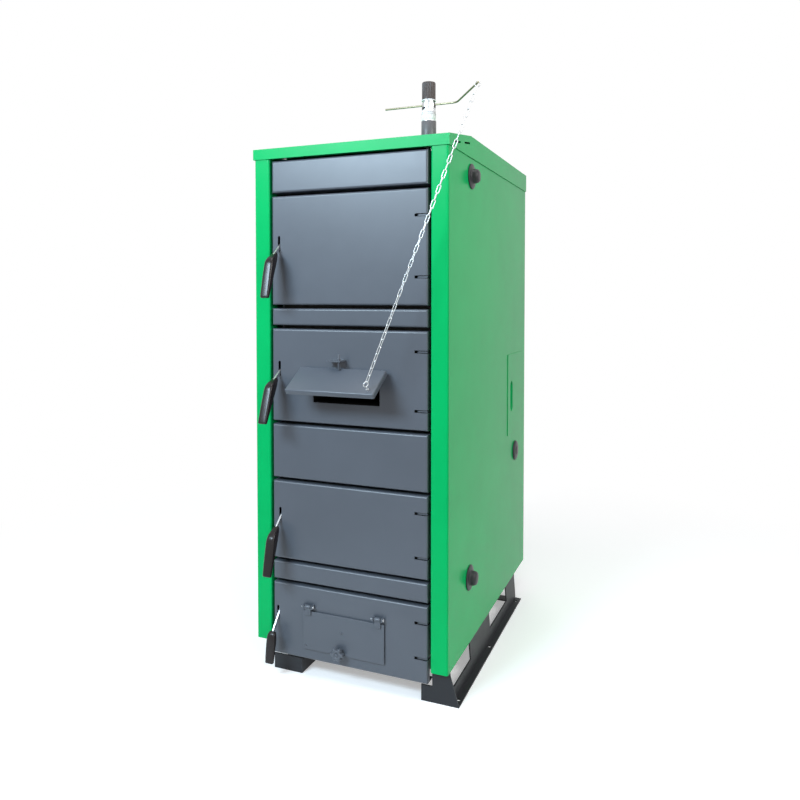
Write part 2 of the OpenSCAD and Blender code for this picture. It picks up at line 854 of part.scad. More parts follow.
module air_flap_hinge() {
    color(CHARCOAL) front() {
        translate([flap_x, flap_axis_y, flap_axis_z]) rod_x(flap_rod_r, flap_w - 10);
        for (x = [-122, 108]) translate([x, flap_axis_y, flap_axis_z]) {
            rod_x(flap_lug_r, 6);
            translate([-3, 0, -flap_lug_r]) cube([6, -flap_axis_y, 2 * flap_lug_r]);
        }
        // Stop bracket with its set screw
        translate([stop_x - 37, stop_y - 8, stop_z]) cube([45, -stop_y + 8, 4]);
        translate([stop_x - 37, -3, stop_z - 15]) cube([45, 3, 15]);
        translate([stop_x, stop_y, stop_z - 21]) cylinder(d = 6, h = 42, $fn = 24);
        translate([stop_x, stop_y, stop_z + 4]) cylinder(d = 12, h = 5, $fn = 6);
    }
}

// ---------------------------------------------------------------- ash hatch

module ash_hatch() {
    color(GRAPHITE) front() difference() {
        union() {
            translate([hatch_x - hatch_w / 2, hatch_y, hatch_z]) cube([hatch_w, hatch_t, hatch_h]);
            for (x = hatch_lug_x()) {
                translate([x - 9, hatch_axis_y - 2, hatch_z + hatch_h - 10])
                    cube([18, 5, hatch_axis_z - hatch_z - hatch_h + 10]);
                translate([x, hatch_axis_y, hatch_axis_z]) rod_x(hatch_rod_r + 3, 18);
            }
        }
        for (x = hatch_lug_x())
            translate([x, hatch_axis_y, hatch_axis_z]) rod_x(hatch_rod_r + pin_gap, 24);
        translate([star_x, hatch_y - over, star_z]) rod_y(star_screw_r + pin_gap, hatch_t + 2 * over);
    }
}

function hatch_lug_x() = [hatch_x - 110, hatch_x + 110];

module ash_hatch_hinge() {
    color(GRAPHITE) front() for (x = hatch_lug_x()) {
        for (s = [-1, 1])
            translate([x + s * 14 - 3, hatch_axis_y - 5, hatch_axis_z - 5]) cube([6, 5 - hatch_axis_y, 10]);
        translate([x, hatch_axis_y, hatch_axis_z]) rod_x(hatch_rod_r, 34);
    }
}

module star_knob() {
    color(GRAPHITE) front() translate([star_x, hatch_y - 22, star_z]) {
        rotate([-90, 0, 0]) linear_extrude(16) difference() {
            circle(star_d / 2, $fn = 48);
            for (a = [0:60:300]) rotate([0, 0, a])
                translate([star_d / 2 + 3, 0]) circle(6, $fn = 24);
        }
        translate([0, 16, 0]) rod_y(9, 6 - touch);
        translate([0, 20, 0]) rod_y(star_screw_r, 6.5);
    }
}

// ---------------------------------------------------------------- regulator

module regulator_body() {
    z0 = ceiling_z + ceiling_t;
    color(CHARCOAL) front() translate([reg_x, reg_y, 0]) difference() {
        rotate_extrude($fn = 64) polygon([
            [0, z0], [14, z0], [14, casing_top + 20], [sleeve_r, casing_top + 20],
            [sleeve_r, lever_z - 45], [reg_d / 2, lever_z - 43], [reg_d / 2, lever_z + 4],
            [reg_d / 2 - 2, lever_z + 6], [reg_d / 2 - 2, lever_z + 9], [reg_d / 2, lever_z + 10],
            [reg_d / 2, lever_z + 12], [stem_r, lever_z + 12], [stem_r, lever_z + 30], [0, lever_z + 30]
        ]);
        // Window that the lever passes through
        translate([0, 0, lever_z]) cube([60, 12, 20], center = true);
    }
}

module regulator_knob() {
    z0 = reg_top - knob_h;
    color(BLACK) front() translate([reg_x, reg_y, 0]) difference() {
        rotate_extrude($fn = 64)
            polygon([[stem_r + pin_gap, z0], [reg_d / 2, z0], [reg_d / 2, reg_top - 3], [reg_d / 2 - 3, reg_top],
                [0, reg_top], [0, z0 + 20], [stem_r + pin_gap, z0 + 20]]);
        for (a = [0:20:340]) rotate([0, 0, a])
            translate([reg_d / 2 + 0.6, 0, z0 - over]) cylinder(r = 1.6, h = knob_h - 6, $fn = 16);
    }
}

module regulator_lever() {
    color(ZINC) front() {
        translate([reg_x - lever_back, reg_y, lever_z]) rotate([0, 90, 0])
            cylinder(d = lever_rod_d, h = lever_l, $fn = 24);
        translate([lever_bend_x, reg_y, lever_z]) sphere(d = lever_rod_d, $fn = 24);
        translate([lever_bend_x, reg_y, lever_z])
            rotate([0, 90, atan2(lever_tip_y - reg_y, lever_tip_x - lever_bend_x)])
                cylinder(d = lever_rod_d, h = norm(rod_u), $fn = 24);
        // Pivot
        translate([reg_x, reg_y, lever_z]) rotate([90, 0, 0])
            cylinder(r = 4.5, h = 11, center = true, $fn = 32);
    }
}

// ---------------------------------------------------------------- chain

// Frame with z along the chain, turned about it
module along_chain(turn) {
    rotate([0, chain_tilt, chain_turn]) rotate([0, 0, turn]) children();
}

// Ring of wire whose axis is x
module wire_ring(r, w = wire_r) {
    rotate([0, 90, 0]) rotate_extrude($fn = 32) translate([r, 0]) circle(w, $fn = 16);
}

// Oval link in the x-z plane
module chain_link() {
    bend_r = link_in / 2 + wire_r;
    straight = link_pitch + link_play - link_in;
    for (s = [-1, 1]) {
        translate([s * bend_r, 0, 0]) cylinder(r = wire_r, h = straight, center = true, $fn = 16);
        translate([0, 0, s * straight / 2]) rotate([90, 0, 0]) rotate([0, 0, s > 0 ? 0 : 180])
            rotate_extrude(angle = 180, $fn = 24) translate([bend_r, 0]) circle(wire_r, $fn = 16);
    }
}

module chain_ring() {
    color(BARE) translate(chain_start) along_chain(ring_angle) wire_ring(ring_r);
}

module draught_chain() {
    first = ring_take + wire_r + (link_pitch + link_play) / 2;
    color(BARE) translate(chain_start) for (k = [0:link_count - 1])
        along_chain(ring_angle + (k + 1) * link_twist + 90 * k)
            translate([0, 0, first + k * link_pitch]) chain_link();
}

// ---------------------------------------------------------------- the nodes

floor_runners();
casing_left();
casing_right();
casing_rear();
top_cover();
header_panel();
front_panels();
front_plate();
door_fittings();
water_jackets();
chamber_floors();
flue_spigot();
water_sockets();
side_plugs();
side_hatch_cover();
regulator_body();
regulator_knob();
regulator_lever();
chain_ring();
draught_chain();
door_cover(ASH);  // ash_door_cover
door_plate(ASH);  // ash_door_plate
door_block(ASH);  // ash_door_block
door_bar(ASH);  // ash_door_bar
door_grip(ASH);  // ash_door_grip
door_cover(LOWER);  // lower_door_cover
door_plate(LOWER);  // lower_door_plate
door_block(LOWER);  // lower_door_block
door_bar(LOWER);  // lower_door_bar
door_grip(LOWER);  // lower_door_grip
door_cover(FURNACE);  // furnace_door_cover
door_plate(FURNACE);  // furnace_door_plate
door_block(FURNACE);  // furnace_door_block
door_bar(FURNACE);  // furnace_door_bar
door_grip(FURNACE);  // furnace_door_grip
door_cover(LOADING);  // loading_door_cover
door_plate(LOADING);  // loading_door_plate
door_block(LOADING);  // loading_door_block
door_bar(LOADING);  // loading_door_bar
door_grip(LOADING);  // loading_door_grip
air_flap();
air_flap_hinge();
flap_eye();
ash_hatch();
ash_hatch_hinge();
star_knob();
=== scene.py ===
"""Looks of the wood gasification boiler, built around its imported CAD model."""

import json
import math

import bmesh
import bpy
from mathutils import Matrix, Vector


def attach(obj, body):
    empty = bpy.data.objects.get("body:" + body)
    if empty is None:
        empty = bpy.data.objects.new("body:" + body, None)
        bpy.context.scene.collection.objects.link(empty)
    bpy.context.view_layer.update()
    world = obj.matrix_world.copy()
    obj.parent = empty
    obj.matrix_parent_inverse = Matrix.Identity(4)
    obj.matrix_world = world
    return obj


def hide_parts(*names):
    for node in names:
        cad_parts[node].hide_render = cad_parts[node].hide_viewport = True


MM = 0.001
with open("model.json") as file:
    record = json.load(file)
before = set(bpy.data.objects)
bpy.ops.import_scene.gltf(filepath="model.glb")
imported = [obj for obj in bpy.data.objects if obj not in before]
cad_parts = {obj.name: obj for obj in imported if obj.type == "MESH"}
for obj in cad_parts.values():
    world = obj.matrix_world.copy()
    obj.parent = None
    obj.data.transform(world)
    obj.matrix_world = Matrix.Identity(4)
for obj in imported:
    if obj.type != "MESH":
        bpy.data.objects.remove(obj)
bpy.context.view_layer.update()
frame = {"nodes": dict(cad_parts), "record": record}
NODES = frame["nodes"]
DOORS = ("ash", "lower", "furnace", "loading")

# ------------------------------------------------------------------ camera and light

# Focal length and sensor width in mm, place in metres, turn and tilt in degrees
FOCAL = 32.33
SENSOR_W = 36.0
CAMERA_AT = (0.8976, -2.2721, 1.1115)
CAMERA_YAW = 22.156
CAMERA_DOWN = 1.757
# Lens shift, as a share of the sensor's width
CAMERA_SHIFT = -0.1023
# Each lamp's place, what it looks at, its width and height in metres, its power in watts and
# its colour
LAMPS = {
    "key": ((-0.95, -2.75, 2.35), (0.0, -0.46, 1.5), (1.3, 0.7), 112, (0.66, 0.85, 1.0)),
    "fill": ((2.3, -2.7, 2.0), (0.05, -0.4, 1.3), (1.2, 1.4), 15, (1, 1, 1)),
    "side": ((2.2, -0.9, 2.2), (0.3, -0.3, 1.4), (1.0, 1.0), 29, (1, 1, 1)),
    "top": ((0.2, -0.6, 3.7), (0, -0.1, 1.4), (1.8, 1.6), 30, (1, 1, 1)),
    "rear": ((-1.2, 3.6, 2.4), (0, 0.4, 0.8), (2.2, 2.2), 46, (1, 1, 1)),
}
# Light that the surroundings throw on the boiler: colour and strength
SURROUND = (0.92, 0.95, 1.0)
SURROUND_POWER = 0.30


def make_camera():
    """Camera that sees the boiler's front and right side, looking slightly down."""
    data = bpy.data.cameras.new("camera")
    data.lens = FOCAL
    data.sensor_width = SENSOR_W
    data.shift_y = CAMERA_SHIFT
    cam = bpy.data.objects.new("camera", data)
    cam.location = CAMERA_AT
    cam.rotation_euler = (math.radians(90 - CAMERA_DOWN), 0, math.radians(CAMERA_YAW))
    bpy.context.scene.collection.objects.link(cam)
    bpy.context.scene.camera = cam


def area_light(name, place, aim, size, power, colour):
    """Rectangular lamp at place that looks at aim."""
    data = bpy.data.lights.new(name, "AREA")
    data.shape = "RECTANGLE"
    data.size, data.size_y = size
    data.energy = power
    data.color = colour
    lamp = bpy.data.objects.new(name, data)
    lamp.location = place
    lamp.rotation_euler = (Vector(aim) - Vector(place)).to_track_quat("-Z", "Y").to_euler()
    # Seen from the front, the rear lamp's reflection would wash out the flat top cover
    lamp.visible_glossy = name != "rear"
    bpy.context.scene.collection.objects.link(lamp)


def behind_rays(tree):
    """1 for rays that show the background itself: camera, glossy and transmission rays."""
    path = tree.nodes.new("ShaderNodeLightPath")
    total = path.outputs["Is Camera Ray"]
    for name in ("Is Glossy Ray", "Is Transmission Ray"):
        most = tree.nodes.new("ShaderNodeMath")
        most.operation = "MAXIMUM"
        tree.links.new(total, most.inputs[0])
        tree.links.new(path.outputs[name], most.inputs[1])
        total = most.outputs[0]
    return total


def backdrop(tree, colour, strength):
    """Background of one colour."""
    node = tree.nodes.new("ShaderNodeBackground")
    node.inputs["Color"].default_value = (*colour, 1)
    node.inputs["Strength"].default_value = strength
    return node.outputs[0]


def make_world():
    """Pale surroundings that light the boiler softly and look white behind it."""
    world = bpy.data.worlds.new("world")
    bpy.context.scene.world = world
    world.use_nodes = True
    tree = world.node_tree
    tree.nodes.clear()
    mix = tree.nodes.new("ShaderNodeMixShader")
    out = tree.nodes.new("ShaderNodeOutputWorld")
    tree.links.new(behind_rays(tree), mix.inputs[0])
    tree.links.new(backdrop(tree, SURROUND, SURROUND_POWER), mix.inputs[1])
    tree.links.new(backdrop(tree, (1.0, 1.0, 1.0), 1.0), mix.inputs[2])
    tree.links.new(mix.outputs[0], out.inputs["Surface"])


# ------------------------------------------------------------------ materials

# Bump distances are in metres, and the scales of the noises are per metre


class Nodes:
    """A material's node tree, with short calls for what the materials below need."""

    def __init__(self, name):
        self.material = bpy.data.materials.new(name)
        self.material.use_nodes = True
        self.tree = self.material.node_tree
        self.shader = self.tree.nodes["Principled BSDF"]
        self.place = self.tree.nodes.new("ShaderNodeTexCoord").outputs["Object"]

    def link(self, a, b):
        self.tree.links.new(a, b)

    def set(self, **values):
        for key, value in values.items():
            self.shader.inputs[key.replace("_", " ")].default_value = value

    def noise(self, scale, detail=3.0, rough=0.55):
        n = self.tree.nodes.new("ShaderNodeTexNoise")
        n.inputs["Scale"].default_value = scale
        n.inputs["Detail"].default_value = detail
        n.inputs["Roughness"].default_value = rough
        self.link(self.place, n.inputs["Vector"])
        return n.outputs["Fac"]

    def ramp(self, value, *stops):
        """Colour that runs through stops of (share, colour)."""
        r = self.tree.nodes.new("ShaderNodeValToRGB")
        while len(r.color_ramp.elements) < len(stops):
            r.color_ramp.elements.new(0.5)
        for element, (share, colour) in zip(r.color_ramp.elements, stops):
            element.position = share
            element.color = (*colour, 1)
        self.link(value, r.inputs["Fac"])
        return r.outputs["Color"]

    def spread(self, value, low, high):
        """The value, which is 0 to 1, as low to high."""
        m = self.tree.nodes.new("ShaderNodeMapRange")
        m.inputs["To Min"].default_value = low
        m.inputs["To Max"].default_value = high
        self.link(value, m.inputs["Value"])
        return m.outputs["Result"]

    def bump(self, height, distance, strength, under=None):
        """Normal of a bump, on top of the bump under it."""
        b = self.tree.nodes.new("ShaderNodeBump")
        b.inputs["Distance"].default_value = distance
        b.inputs["Strength"].default_value = strength
        self.link(height, b.inputs["Height"])
        if under is not None:
            self.link(under, b.inputs["Normal"])
        return b.outputs["Normal"]

    def colour(self, socket):
        self.link(socket, self.shader.inputs["Base Color"])

    def normal(self, socket):
        self.link(socket, self.shader.inputs["Normal"])

    def roughness(self, socket):
        self.link(socket, self.shader.inputs["Roughness"])


def shade(colour, k):
    """The colour made k times as bright."""
    return tuple(min(1.0, c * k) for c in colour)


def powder_coat(name, colour, rough, gloss, peel):
    """Baked powder coat: faint cloudiness and orange peel."""
    m = Nodes(name)
    cloud = m.noise(5.0, 4.0)
    m.colour(m.ramp(cloud, (0.3, shade(colour, 0.94)), (0.7, shade(colour, 1.05))))
    m.roughness(m.spread(m.noise(38.0, 4.0), rough - 0.04, rough + 0.05))
    fine = m.bump(m.noise(900.0, 2.0), peel, 0.35)
    m.normal(m.bump(m.noise(190.0, 2.0), peel * 2.2, 0.4, fine))
    m.set(Specular_IOR_Level=gloss)
    return m.material


def bright_metal(name, colour, rough):
    """Zinc-plated steel: slight drawn grain and clouded passivation."""
    m = Nodes(name)
    cloud = m.noise(160.0, 4.0)
    m.colour(m.ramp(cloud, (0.3, shade(colour, 0.82)), (0.7, shade(colour, 1.1))))
    m.roughness(m.spread(m.noise(420.0, 3.0), rough - 0.07, rough + 0.09))
    m.normal(m.bump(m.noise(700.0, 3.0), 0.00006, 0.5))
    m.set(Metallic=1.0)
    return m.material


def rolled_steel(name):
    """Boiler plate: mill scale, soot and a little rust bloom."""
    m = Nodes(name)
    patches = m.noise(16.0, 7.0, rough=0.65)
    m.colour(m.ramp(patches, (0.28, (0.018, 0.017, 0.017)), (0.5, (0.055, 0.052, 0.05)),
        (0.72, (0.10, 0.085, 0.072))))
    m.roughness(m.spread(m.noise(60.0, 5.0), 0.5, 0.82))
    m.normal(m.bump(m.noise(240.0, 5.0), 0.0004, 0.6))
    m.set(Metallic=0.35)
    return m.material


def vermiculite(name, colour=(0.62, 0.53, 0.38), flakes=260.0):
    """Pressed board or fired brick: pale, flecked with darker grains."""
    m = Nodes(name)
    cells = m.tree.nodes.new("ShaderNodeTexVoronoi")
    cells.inputs["Scale"].default_value = flakes
    m.link(m.place, cells.inputs["Vector"])
    m.colour(m.ramp(cells.outputs["Distance"], (0.05, shade(colour, 0.45)),
        (0.35, shade(colour, 0.8)), (0.8, colour)))
    m.normal(m.bump(cells.outputs["Distance"], 0.0006, 0.6))
    m.set(Roughness=0.9)
    return m.material


def plastic(name, colour, rough, grain):
    """Moulded plastic with a fine spark-eroded grain."""
    m = Nodes(name)
    m.colour(m.ramp(m.noise(24.0), (0.3, shade(colour, 0.85)), (0.7, shade(colour, 1.25))))
    m.roughness(m.spread(m.noise(70.0, 4.0), rough - 0.05, rough + 0.07))
    m.normal(m.bump(m.noise(1300.0, 2.0), grain, 0.4))
    m.set(Specular_IOR_Level=0.3)
    return m.material


def rope_stuff(name):
    """Braided glass-fibre rope."""
    m = Nodes(name)
    wave = m.noise(700.0, 2.0)
    m.colour(m.ramp(wave, (0.3, (0.30, 0.28, 0.25)), (0.7, (0.62, 0.60, 0.56))))
    m.normal(m.bump(wave, 0.0008, 0.8))
    m.set(Roughness=0.95)
    return m.material


GREEN = powder_coat("green_powder_coat", (0.0012, 0.42, 0.108), 0.24, 0.08, 0.00003)
GRAPHITE = powder_coat("graphite_powder_coat", (0.082, 0.092, 0.110), 0.33, 0.46, 0.00007)
CHARCOAL = powder_coat("charcoal_paint", (0.022, 0.023, 0.026), 0.44, 0.25, 0.00008)
STEEL = rolled_steel("boiler_plate")
# Near black for the ducts in the doors' air openings: painted shade inside the openings
SHADE_BLACK = powder_coat("painted_shade_black", (0.004, 0.004, 0.004), 0.8, 0.1, 0.00012)
BOARD = vermiculite("vermiculite_board")
BRICK = vermiculite("refractory_brick", (0.62, 0.50, 0.36), 150.0)
BRIGHT = bright_metal("bright_zinc", (0.60, 0.61, 0.62), 0.34)
YELLOW = bright_metal("yellow_zinc", (0.30, 0.28, 0.19), 0.42)
BLACK = plastic("black_plastic", (0.012, 0.009, 0.009), 0.24, 0.00003)
MATT_BLACK = plastic("matt_black_plastic", (0.026, 0.026, 0.028), 0.40, 0.00006)
BROWN = plastic("brown_plastic", (0.060, 0.046, 0.042), 0.40, 0.00004)
WHITE = plastic("white_plastic", (0.80, 0.78, 0.79), 0.36, 0.00003)
GREY = plastic("grey_sleeve", (0.10, 0.092, 0.096), 0.38, 0.00004)
ROPE = rope_stuff("sealing_rope")

SLOT_LOOK = {
    "green_paint": GREEN, "graphite_paint": GRAPHITE, "charcoal_paint": CHARCOAL,
    "boiler_steel": STEEL, "insulation_block": BOARD, "bare_steel": BRIGHT,
    "black_plastic": BLACK, "zinc_rod": YELLOW,
}
# Nodes whose finish isn't their slot's
NODE_LOOK = {"regulator_body": BRIGHT, "door_fittings": GRAPHITE, "air_flap_hinge": GRAPHITE}
# Rounding of the sharp edges of CAD nodes, in mm
SOFT_EDGES = {
    "top_cover": 1.2, "ash_hatch": 0.8, "floor_runners": 0.8, "side_hatch_cover": 0.5,
    "water_sockets": 1.0, "ash_hatch_hinge": 0.6, "air_flap_hinge": 0.6,
    **{f"{door}_door_bar": 0.7 for door in DOORS},
}


def dress_nodes():
    """Gives every CAD node its finish."""
    slots = {s["node"]: s["material_slot"] for s in frame["record"]["subparts"]}
    for name, node in NODES.items():
        look = NODE_LOOK.get(name, SLOT_LOOK[slots[name]])
        node.data.materials.clear()
        node.data.materials.append(look)


def bevelled(obj, width, segments=2, angle=35):
    """Rounds the edges of obj that turn by more than angle in degrees, by width in mm."""
    mod = obj.modifiers.new("bevel", "BEVEL")
    mod.width = width * MM
    mod.segments = segments
    mod.limit_method = "ANGLE"
    mod.angle_limit = math.radians(angle)
    mod.harden_normals = True


def soften_edges():
    """Rounds the sharp edges of some CAD nodes' shown surfaces a little."""
    for name, width in SOFT_EDGES.items():
        node = NODES[name]
        # Welded and with its flat faces merged, so that only real edges are rounded
        weld = node.modifiers.new("weld", "WELD")
        weld.merge_threshold = 0.02 * MM
        flat = node.modifiers.new("flat", "DECIMATE")
        flat.decimate_type = "DISSOLVE"
        flat.angle_limit = math.radians(0.5)
        bevelled(node, width)


# ------------------------------------------------------------------ measures, in mm

# Depths run back from the front of the corner posts, which lies here in the frame
FRONT_Y = -465.0
# Casing: half its width, its depth and the height of its top
HALF_W = 300.0
CASING_D = 930.0
CASING_TOP = 1510.0
# Doors, lowest first: the lower edges, heights, depth of the covers and inner plates' thickness
DOOR_Z = (55.0, 341.0, 747.0, 1086.0)
DOOR_H = (213.0, 229.0, 270.0, 315.0)
COVER_D = 44.0
PLATE_T = 5.0
# Openings behind the doors: half the width, and inset from a door's lower and upper edge
OPENING_X = 174.0
OPENING_INSET = 40.0
# Door hinges: x and depth of the pins, half of the pin that shows, and each hinge's height over
# its door's lower edge and below its upper edge
PIN = (216.0, 12.0)
PIN_HALF = 8.5
HINGE_LOW = (68, 58, 53, 77)
HINGE_HIGH = (48, 49, 56, 72)
# Exits of the handles' bars: x, and height over the door's lower edge
HANDLE_X = (-227.0, -218.0, -218.0, -218.0)
HANDLE_UP = (110.0, 117.0, 142.0, 166.0)
# Regulator: x and depth of its axis, top, height of its knob and height of the lever's pivot
REG = (208.0, 100.0)
REG_TOP = 1707.0
KNOB_H = 48.0
LEVER_Z = 1645.0
# Air flap: depth and height of its rod, degrees it stands open, its sides' x and its length
FLAP_AXIS = (-13.0, 902.0)
FLAP_OPEN = 58.0
FLAP_X = (-140.0, 128.0)
FLAP_L = 103.0
# Hatch of the lowest door: depth of its face, lower edge, depth and height of its pins
HATCH_Y = -6.0
HATCH_Z = 88.0
HATCH_AXIS = (-9.0, 214.0)
# Air openings in two doors: the door, x of the middle, width, lower edge and height
AIR_DUCTS = (("furnace_door", -3, 208, FLAP_AXIS[1] - 95, 80),
    ("ash_door", -12, 196, HATCH_Z + 23, 66))
# Capped sockets on the right side: depth, height and whether the cap is flat
PLUGS = ((210.0, 1458.0, False), (200.0, 286.0, False), (774.0, 548.0, True))
# Water sockets at the rear: x and height
SOCKETS = ((-150.0, 1380.0), (150.0, 220.0))
# Furnace: height of its floor, and the depths of its front and rear
FURNACE_Z = 717.0
FURNACE_Y = (78.0, 782.0)


def at(x, y, z):
    """A point in metres from x, the depth behind the posts' front and the height in mm."""
    return Vector((x, FRONT_Y + y, z)) * MM


# ------------------------------------------------------------------ mesh tools


def mesh_from(name, build):
    """A mesh made by build(bm) with its normals pointing out."""
    bm = bmesh.new()
    build(bm)
    bmesh.ops.remove_doubles(bm, verts=bm.verts[:], dist=0.002 * MM)
    bmesh.ops.recalc_face_normals(bm, faces=bm.faces[:])
    mesh = bpy.data.meshes.new(name)
    bm.to_mesh(mesh)
    bm.free()
    return mesh


def piece(name, build, body, look, smooth=True):
    """A new object of the visual model, made by build(bm), that rides on one body."""
    mesh = mesh_from(name, build)
    obj = bpy.data.objects.new(name, mesh)
    bpy.context.scene.collection.objects.link(obj)
    mesh.materials.append(look)
    for face in mesh.polygons:
        face.use_smooth = smooth
    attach(obj, body)
    return obj


def loft(bm, rings, closed=False, caps=True):
    """Skins a row of rings of points; closed joins the last ring to the first."""
    rows = [[bm.verts.new(p) for p in ring] for ring in rings]
    n = len(rows[0])
    pairs = list(zip(rows, rows[1:]))
    if closed:
        pairs.append((rows[-1], rows[0]))
    for a, b in pairs:
        for k in range(n):
            bm.faces.new((a[k], a[(k + 1) % n], b[(k + 1) % n], b[k]))
    if caps and not closed:
        bm.faces.new(list(reversed(rows[0])))
        bm.faces.new(rows[-1])


def circle(place, radius, height, steps):
    """Points round the Z axis of place; radius in mm, or a function of (index, angle)."""
    points = []
    for k in range(steps):
        t = 2 * math.pi * k / steps
        r = radius(k, t) if callable(radius) else radius
        points.append(place @ (Vector((r * math.cos(t), r * math.sin(t), height)) * MM))
    return points


def turned(bm, profile, place, steps):
    """Turns (radius, height) points in mm about the Z axis of place."""
    rings = [circle(place, r, h, steps) for r, h in profile]
    loft(bm, rings, caps=profile[0][0] > 0 and profile[-1][0] > 0)


def turned_tube(bm, profile, place, steps):
    """Turns a closed outline of (radius, height) points about the Z axis of place."""
    loft(bm, [circle(place, r, h, steps) for r, h in profile], closed=True)


def facing(origin, direction):
    """Frame whose Z axis runs from origin along direction."""
    turn = Vector(direction).to_track_quat("Z", "Y").to_matrix().to_4x4()
    return Matrix.Translation(origin) @ turn


def tube_rings(path, radius, steps, closed=False):
    """Rings of a tube along a path, with little twist. radius may be a function of (i, angle)."""
    rings = []
    count = len(path)
    up = None
    for i, p in enumerate(path):
        if closed:
            way = path[(i + 1) % count] - path[i - 1]
        else:
            way = path[min(i + 1, count - 1)] - path[max(i - 1, 0)]
        way.normalize()
        if up is None:
            up = Vector((0, 1, 0)) if abs(way.y) < 0.8 else Vector((0, 0, 1))
        side = way.cross(up).normalized()
        up = side.cross(way).normalized()
        ring = []
        for k in range(steps):
            t = 2 * math.pi * k / steps
            r = radius(i, t) if callable(radius) else radius
            ring.append(p + (side * math.cos(t) + up * math.sin(t)) * r)
        rings.append(ring)
    return rings


def box(bm, place, x, y, z):
    """Box between two x, two y and two z in mm, in the axes of place."""
    corners = [bm.verts.new(place @ (Vector((i, j, k)) * MM)) for i in x for j in y for k in z]
    for f in ((0, 1, 3, 2), (4, 6, 7, 5), (0, 4, 5, 1), (2, 3, 7, 6), (0, 2, 6, 4), (1, 5, 7, 3)):
        bm.faces.new([corners[i] for i in f])


# ------------------------------------------------------------------ sealing ropes


def rope_path(i):
    """Rounded rectangle in the channel of door i's inner plate."""
    # Way out past the opening, corner radius, depth behind the plate, spacing of the points and
    # how many parts a corner has
    out, corner, depth, step, parts = 8.0, 14.0, 6.2, 3.2, 8
    x = OPENING_X + out
    z0 = DOOR_Z[i] + OPENING_INSET - out
    z1 = DOOR_Z[i] + DOOR_H[i] - OPENING_INSET + out
    y = COVER_D + PLATE_T + depth
    points = []
    for cx, cz, a0 in ((x, z1, 0), (-x, z1, 90), (-x, z0, 180), (x, z0, 270)):
        sx = -1 if cx > 0 else 1
        sz = -1 if cz == z1 else 1
        for k in range(parts + 1):
            t = math.radians(a0 + 90 * k / parts)
            points.append(Vector((cx + sx * corner + corner * math.cos(t), y,
                cz + sz * corner + corner * math.sin(t))))
    path = []
    for a, b in zip(points, points[1:] + points[:1]):
        n = max(1, round((b - a).length / step))
        path += [a.lerp(b, k / n) for k in range(n)]
    return [at(*p) for p in path]


def braid(k, t):
    """Radius of a rope at its k-th ring and angle t, with strands that cross."""
    mean, relief, strands, twist = 5.7, 0.35, 4, 1.1
    weave = math.sin(strands * t + k * twist) * math.cos(strands * t - k * twist)
    return (mean + relief * weave) * MM


def sealing_ropes():
    """The braided rope in the channel of each door's inner plate."""
    for i, door in enumerate(DOORS):
        piece(f"{door}_door_rope",
            lambda bm: loft(bm, tube_rings(rope_path(i), braid, 12, True), closed=True),
            f"{door}_door", ROPE)


# ------------------------------------------------------------------ grips

# Grip of the loading door in its side view, from the bar's exit: outer edge's and inner
# edge's way out of the door and height, with half the width there
GRIP_SECTIONS = ((23, -15, 18, -25, 7.5), (35, -22, 23, -37, 10), (50, -31, 30, -49, 12.6),
    (59.5, -42, 37, -63, 14), (65, -62, 46.5, -83, 14.4), (73, -95, 57, -108, 14.2),
    (80, -125, 66, -130, 13.6), (83.5, -141, 70.5, -144, 13.2))
# The same for the lowest door's shorter grip
SHORT_GRIP = ((35, -30, 25, -38, 9), (42, -37, 27.5, -50, 12.6), (46, -49, 31, -62, 14),
    (49.5, -72, 36, -80, 14.2), (53, -99, 41, -103, 13.6), (55, -114, 43.5, -116, 13))
# Degrees that each grip is turned down with its bar, from the loading door's
GRIP_TURN = (0.0, 1.5, -6.0, 0.0)


def smooth_line(points, n):
    """Catmull-Rom line through rows of numbers, n steps a span."""
    rows = [points[0]] + list(points) + [points[-1]]
    line = []
    for a, b, c, d in zip(rows, rows[1:], rows[2:], rows[3:]):
        for k in range(n):
            t = k / n
            line.append([0.5 * (2 * q + (r - p) * t + (2 * p - 5 * q + 4 * r - s) * t * t
                + (3 * q - p - 3 * r + s) * t ** 3) for p, q, r, s in zip(a, b, c, d)])
    line.append(list(points[-1]))
    return line


def grip_rings(i):
    """Rings of the grip on door i: rounded slices across it, with rounded ends."""
    turn = Matrix.Rotation(math.radians(-GRIP_TURN[i]), 2)
    steps = 40
    rings = []
    for o, oz, n, nz, half in smooth_line(SHORT_GRIP if i == 0 else GRIP_SECTIONS, 4):
        outer, inner = turn @ Vector((o, oz)), turn @ Vector((n, nz))
        rings.append(((outer + inner) / 2, (outer - inner) / 2, half))

    def moved(ring, other, out, shrink):
        """The ring moved out past its end and made smaller, in mm."""
        middle, reach, half = ring
        way = (middle - other[0]).normalized()
        return (middle + way * out, reach * (1 - shrink / reach.length), half - shrink)

    head = [moved(rings[0], rings[1], out, shrink) for out, shrink in ((2.2, 2.6), (1.1, 0.9))]
    tail = [moved(rings[-1], rings[-2], out, shrink)
        for out, shrink in ((1.4, 0.4), (2.6, 1.4), (3.3, 3.0), (3.5, 4.4))]
    shown = []
    for middle, reach, half in head + rings + tail:
        ring = []
        for s in range(steps):
            t = 2 * math.pi * s / steps
            # A rounded rectangle, its front a little crowned
            c, d = math.cos(t), math.sin(t)
            u = math.copysign(abs(c) ** 0.5, c) * half
            v = math.copysign(abs(d) ** (0.62 if d > 0 else 0.5), d)
            p = middle + reach * v
            ring.append(at(HANDLE_X[i] + u, -p.x, DOOR_Z[i] + HANDLE_UP[i] + p.y))
        shown.append(ring)
    return shown


def grips():
    """Wedge-shaped grips with a knee, in place of the CAD's."""
    for i, door in enumerate(DOORS):
        grip = piece(f"{door}_grip_cover", lambda bm: loft(bm, grip_rings(i)),
            f"{door}_handle", BLACK)
        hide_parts(f"{door}_door_grip")


# ------------------------------------------------------------------ knobs and plugs


